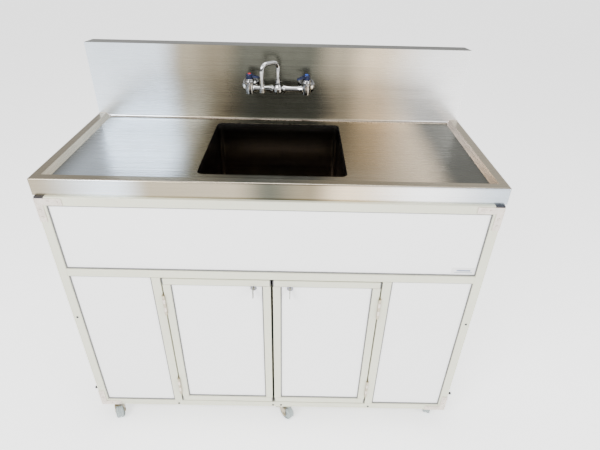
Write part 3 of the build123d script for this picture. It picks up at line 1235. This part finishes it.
def make_door(side, name):
    """One door: tube frame, panel, trim, hinge leaves, and its cam lock."""
    middle_x = side * DOOR_MIDDLE_X
    with BuildPart() as frame:
        for z in (DOOR_TOP - DOOR_TUBE / 2, DOOR_BOTTOM + DOOR_TUBE / 2):
            start = (middle_x - DOOR_WIDTH / 2 + CAP_HEAD, DOOR_TUBE_Y, z)
            square_tube(start, (1, 0, 0), DOOR_WIDTH - 2 * CAP_HEAD, DOOR_TUBE, DOOR_TUBE)
        for x in (DOOR_INNER_X + DOOR_TUBE / 2, DOOR_OUTER_X - DOOR_TUBE / 2):
            start = (side * x, DOOR_TUBE_Y, DOOR_BOTTOM + DOOR_TUBE)
            square_tube(start, (0, 0, 1), DOOR_OPENING[1], DOOR_TUBE, DOOR_TUBE)
    save(frame, f"{name}_door_frame")

    lock_x = side * LOCK_X
    with BuildPart() as panel:
        sheet_in(facing_y(middle_x, FRONT_PANEL_Y, DOOR_MIDDLE_Z), *DOOR_OPENING, PANEL)
        rod(facing_y(lock_x, FRONT_PANEL_Y, LOCK_Z), LOCK_BARREL_RADIUS, PANEL, mode=Mode.SUBTRACT)
    save(panel, f"{name}_door_panel")

    with BuildPart() as trim:
        plane = facing_y(middle_x, FRONT_PANEL_Y - GASKET_PROUD, DOOR_MIDDLE_Z)
        border(plane, *DOOR_OPENING, GASKET, GASKET_DEPTH)
        stem = DOOR_TUBE - 2 * TUBE_WALL - 2 * STEM_CLEARANCE
        for z in (DOOR_TOP - DOOR_TUBE / 2, DOOR_BOTTOM + DOOR_TUBE / 2):
            for end in SIDES:
                cap_plane = Plane(origin=(middle_x + end * DOOR_WIDTH / 2, DOOR_TUBE_Y, z),
                                  x_dir=(0, 1, 0), z_dir=(-end, 0, 0))
                with BuildSketch(cap_plane) as head:
                    RectangleRounded(DOOR_TUBE, DOOR_TUBE, TUBE_CORNER)
                extrude(head.sketch, amount=CAP_HEAD)
                with BuildSketch(cap_plane) as insert:
                    Rectangle(stem, stem)
                extrude(insert.sketch, amount=CAP_STEM)
        # the gasket is notched around the lock's head
        notch_start = facing_y(lock_x, FRONT_PANEL_Y - GASKET_DEPTH, LOCK_Z)
        rod(notch_start, GASKET_NOTCH, 2 * GASKET_DEPTH, mode=Mode.SUBTRACT)
    save(trim, f"{name}_door_trim")

    with BuildPart() as leaves:
        for middle_z in HINGE_HEIGHTS:
            hinge_leaf(side, middle_z, (1, 3), -side, PIN_RADIUS + RUNNING_FIT)
    save(leaves, f"{name}_hinge_leaves")

    # the lock's body stands in the panel, with a round head in front and a nut behind
    head_y = FRONT_PANEL_Y - LOCK_HEAD
    barrel_end = CAM_BACK - CAM_THICKNESS - RUNNING_FIT
    with BuildPart() as body:
        rod(facing_y(lock_x, head_y, LOCK_Z), LOCK_HEAD_RADIUS, LOCK_HEAD)
        chamfer(body.edges().filter_by(GeomType.CIRCLE).group_by(Axis.Y)[0], LOCK_HEAD_EDGE)
        rod(facing_y(lock_x, FRONT_PANEL_Y, LOCK_Z), LOCK_BARREL_RADIUS, barrel_end - FRONT_PANEL_Y)
        with BuildSketch(facing_y(lock_x, FRONT_PANEL_Y + PANEL, LOCK_Z)) as nut:
            RegularPolygon(LOCK_HEAD_RADIUS, 6, major_radius=False)
        extrude(nut.sketch, amount=NUT_THICKNESS)
        rod(facing_y(lock_x, head_y, LOCK_Z), PLUG_RADIUS + RUNNING_FIT, barrel_end - head_y,
            mode=Mode.SUBTRACT)
    save(body, f"{name}_lock_body")

    # the plug turns with the key in it and the cam on its back end
    plug_face = head_y - PLUG_RECESS
    slot = KEY_THICKNESS / 2 + KEY_CLEARANCE
    with BuildPart() as plug:
        rod(facing_y(lock_x, plug_face, LOCK_Z), PLUG_RADIUS, CAM_BACK - plug_face)
        box_between((lock_x - slot, plug_face, LOCK_Z - KEY_BLADE / 2 - KEY_CLEARANCE),
                    (lock_x + slot, plug_face + KEYWAY_DEPTH, LOCK_Z + KEY_BLADE / 2 + KEY_CLEARANCE),
                    mode=Mode.SUBTRACT)
        cam_plane = facing_y(lock_x, CAM_BACK - CAM_THICKNESS, LOCK_Z)
        with BuildSketch(cam_plane) as cam:
            with Locations((side * (CAM_LENGTH - CAM_TAIL) / 2, 0)):
                RectangleRounded(CAM_LENGTH + CAM_TAIL, CAM_WIDTH, CAM_CORNER)
        extrude(cam.sketch, amount=CAM_THICKNESS)
        with BuildSketch(facing_y(lock_x, CAM_BACK, LOCK_Z)) as bolt_head:
            RegularPolygon(CAM_BOLT_RADIUS, 6)
        extrude(bolt_head.sketch, amount=CAM_BOLT_HEAD)
    with BuildPart() as key:
        key_plane = facing_x(lock_x - KEY_THICKNESS / 2, 0, LOCK_Z)
        shoulder_front = plug_face - KEY_SHOULDER[0]
        with BuildSketch(key_plane) as blade:
            with Locations((plug_face + KEY_SHANK_START, 0)):
                Rectangle(KEY_SHANK, KEY_BLADE)
            with Locations((shoulder_front + KEY_SHOULDER[0] / 2, 0)):
                Rectangle(*KEY_SHOULDER)
            with Locations((shoulder_front - KEY_BOW[0] / 2 + PLUG_RECESS, KEY_BOW_DROP)):
                RectangleRounded(*KEY_BOW, KEY_BOW_CORNER)
            with Locations((shoulder_front + KEY_RING_PLACE[0], KEY_RING_PLACE[1])):
                Circle(KEY_RING_HOLE, mode=Mode.SUBTRACT)
        extrude(blade.sketch, amount=KEY_THICKNESS)
    plug.part = Compound(children=[*plug.part.solids(), *key.part.solids()])
    save(plug, f"{name}_lock_core")


make_door(-1, "left")
make_door(1, "right")

# ---------------------------------------------------------------- casters
# place name, pivot x, end of the cabinet (-1 front, 1 rear), and the way the wheel trails, in degrees
CASTERS = (
    ("front_left", -CORNER_CASTER_X, -1, 285.0),
    ("front_middle", MIDDLE_CASTER_X, -1, 315.0),
    ("front_right", CORNER_CASTER_X, -1, 70.0),
    ("rear_left", -CORNER_CASTER_X, 1, 240.0),
    ("rear_middle", MIDDLE_CASTER_X, 1, 200.0),
    ("rear_right", CORNER_CASTER_X, 1, 110.0),
)
PIVOT_REAR_Y = -CASTER_PIVOT_Y + CABINET_FRONT + CABINET_REAR
PLATE_DEPTH = 2 * TUBE
CROWN_TOP = 55.0
CROWN_RADIUS = 16.0
RACE_RADIUS = 14.0
RACE_GAP = 0.3
LEG_INSIDE = WHEEL_WIDTH / 2 + 1.0
LEG_OUTSIDE = LEG_INSIDE + FORK_SHEET
AXLE_HEAD = 2.2
AXLE_HEAD_RADIUS = 6.0
KING_HEAD_RADIUS = 7.0
KING_HEAD = 2.4
PLATE_BOLT_RADIUS = 3.0
WHEEL_HUB_RADIUS = 9.0
PLATE_CORNER = 4.0
BOLT_INSET = 6.0
CROWN_LENGTH = CASTER_TRAIL + 12.0
CROWN_CORNER = 3.0
CROWN_SHIFT = CASTER_TRAIL / 2 - 2.0
LEG_FRONT = 5.0 - CROWN_RADIUS
LEG_SHOULDER_Z = CROWN_TOP - 8.0
LEG_FOOT_Z = WHEEL_RADIUS - 4.0
LEG_FOOT = 8.0
LEG_EYE_RADIUS = 8.5
LEG_REAR = (6.0, 3.0)
HUB_PROUD = 0.6
WEB_RECESS = 3.0
RIM_DEPTH = 6.0
TREAD_SHOULDER = 2.5
GROOVE = (3.4, 2.4, 1.4)


def pivot_y(end):
    """The depth at which a caster of the front (-1) or rear (1) row turns."""
    return CASTER_PIVOT_Y if end < 0 else PIVOT_REAR_Y


with BuildPart() as caster_plates:
    for _, x, end, _ in CASTERS:
        edge_y = CABINET_FRONT if end < 0 else CABINET_REAR
        plate_y = edge_y - end * PLATE_DEPTH / 2
        plate_low = CASTER_HEIGHT - CASTER_PLATE
        with BuildSketch(Plane.XY.offset(plate_low)):
            with Locations((x, plate_y)):
                RectangleRounded(CASTER_PLATE_X, PLATE_DEPTH, PLATE_CORNER)
        extrude(amount=CASTER_PLATE)
        # bolt heads under the plate's corners, and the king pin with its raceway
        bolt_x = CASTER_PLATE_X / 2 - BOLT_INSET
        bolt_y = PLATE_DEPTH / 2 - BOLT_INSET
        for across in (-bolt_x, bolt_x):
            for along in (-bolt_y, bolt_y):
                bolt = (x + across, plate_y + along, plate_low)
                head_plane = Plane(origin=bolt, x_dir=(1, 0, 0), z_dir=(0, 0, -1))
                domed_head(head_plane, PLATE_BOLT_RADIUS, SCREW_HEAD)
        pin = (x, pivot_y(end), plate_low)
        rod(Plane(origin=pin), RACE_RADIUS, -(plate_low - CROWN_TOP - RACE_GAP))
        rod(Plane(origin=pin), KING_PIN_RADIUS, -(plate_low - CROWN_TOP + FORK_SHEET + RACE_GAP))
        king_head = (x, pivot_y(end), CROWN_TOP - FORK_SHEET - RACE_GAP)
        rod(Plane(origin=king_head), KING_HEAD_RADIUS, -KING_HEAD)
save(caster_plates, "caster_plates")


def make_caster(name, x, end, heading):
    """One swivel fork with its axle, and its wheel, trailing towards the heading."""
    y = pivot_y(end)
    turn = math.radians(heading)
    trail = (math.cos(turn), math.sin(turn), 0)
    across = (-math.sin(turn), math.cos(turn), 0)
    top = Plane(origin=(x, y, CROWN_TOP), x_dir=trail, z_dir=(0, 0, 1))
    side_on = Plane(origin=(x, y, 0), x_dir=trail, z_dir=(math.sin(turn), -math.cos(turn), 0))
    with BuildPart() as fork:
        with BuildSketch(top) as crown:
            Circle(CROWN_RADIUS)
            with Locations((CROWN_SHIFT, 0)):
                RectangleRounded(CROWN_LENGTH, 2 * LEG_OUTSIDE, CROWN_CORNER)
        extrude(crown.sketch, amount=-FORK_SHEET)
        with BuildSketch(side_on) as leg:
            with BuildLine():
                Polyline(
                    (LEG_FRONT, CROWN_TOP),
                    (LEG_FRONT + 1, LEG_SHOULDER_Z),
                    (CASTER_TRAIL - LEG_FOOT, LEG_FOOT_Z),
                    (CASTER_TRAIL + LEG_FOOT, LEG_FOOT_Z),
                    (CASTER_TRAIL + LEG_REAR[0], LEG_SHOULDER_Z),
                    (CASTER_TRAIL + LEG_REAR[1], CROWN_TOP),
                    close=True,
                )
            make_face()
            with Locations((CASTER_TRAIL, WHEEL_RADIUS)):
                Circle(LEG_EYE_RADIUS)
        for hand in SIDES:
            extrude(leg.sketch.moved(Location(Vector(*across) * hand * LEG_INSIDE)),
                    amount=FORK_SHEET, dir=Vector(*across) * hand)
        above_crown = Plane(origin=(x, y, CROWN_TOP + 1))
        rod(above_crown, KING_PIN_RADIUS + RUNNING_FIT, -2 * FORK_SHEET, mode=Mode.SUBTRACT)
        wheel_centre = Vector(x, y, WHEEL_RADIUS) + Vector(*trail) * CASTER_TRAIL
        axle_start = wheel_centre - Vector(*across) * (LEG_OUTSIDE + AXLE_HEAD)
        axle_hole = wheel_centre - Vector(*across) * (LEG_OUTSIDE + 1)
        rod(Plane(origin=axle_hole, z_dir=across), AXLE_RADIUS, 2 * LEG_OUTSIDE + 2, mode=Mode.SUBTRACT)
    with BuildPart() as axle:
        rod(Plane(origin=axle_start, z_dir=across), AXLE_RADIUS, 2 * (LEG_OUTSIDE + AXLE_HEAD))
        for hand in SIDES:
            head = wheel_centre + Vector(*across) * hand * LEG_OUTSIDE
            head_plane = Plane(origin=head, z_dir=Vector(*across) * hand)
            with BuildSketch(head_plane) as nut:
                RegularPolygon(AXLE_HEAD_RADIUS, 6)
            extrude(nut.sketch, amount=AXLE_HEAD)
    fork.part = Compound(children=[*fork.part.solids(), *axle.part.solids()])
    save(fork, f"{name}_fork")

    half = WHEEL_WIDTH / 2
    hub = half + HUB_PROUD
    web = half - WEB_RECESS
    groove_edge, groove_floor, groove_depth = GROOVE
    with BuildPart() as wheel:
        with BuildSketch(Plane(origin=wheel_centre, x_dir=across, z_dir=trail)) as profile:
            bore = AXLE_RADIUS + RUNNING_FIT
            with BuildLine():
                Polyline(
                    (-hub, bore),
                    (hub, bore),
                    (hub, WHEEL_HUB_RADIUS),
                    (web, WHEEL_HUB_RADIUS + 1),
                    (web, WHEEL_RADIUS - RIM_DEPTH),
                    (half, WHEEL_RADIUS - RIM_DEPTH + 1),
                    (half, WHEEL_RADIUS - TREAD_SHOULDER),
                    (half - TREAD_SHOULDER, WHEEL_RADIUS),
                    (groove_edge, WHEEL_RADIUS),
                    (groove_floor, WHEEL_RADIUS - groove_depth),
                    (-groove_floor, WHEEL_RADIUS - groove_depth),
                    (-groove_edge, WHEEL_RADIUS),
                    (-half + TREAD_SHOULDER, WHEEL_RADIUS),
                    (-half, WHEEL_RADIUS - TREAD_SHOULDER),
                    (-half, WHEEL_RADIUS - RIM_DEPTH + 1),
                    (-web, WHEEL_RADIUS - RIM_DEPTH),
                    (-web, WHEEL_HUB_RADIUS + 1),
                    (-hub, WHEEL_HUB_RADIUS),
                    close=True,
                )
            make_face()
        revolve(profile.sketch, axis=Axis(wheel_centre, across))
    save(wheel, f"{name}_wheel")


for caster_name, caster_x, caster_end, caster_heading in CASTERS:
    make_caster(caster_name, caster_x, caster_end, caster_heading)
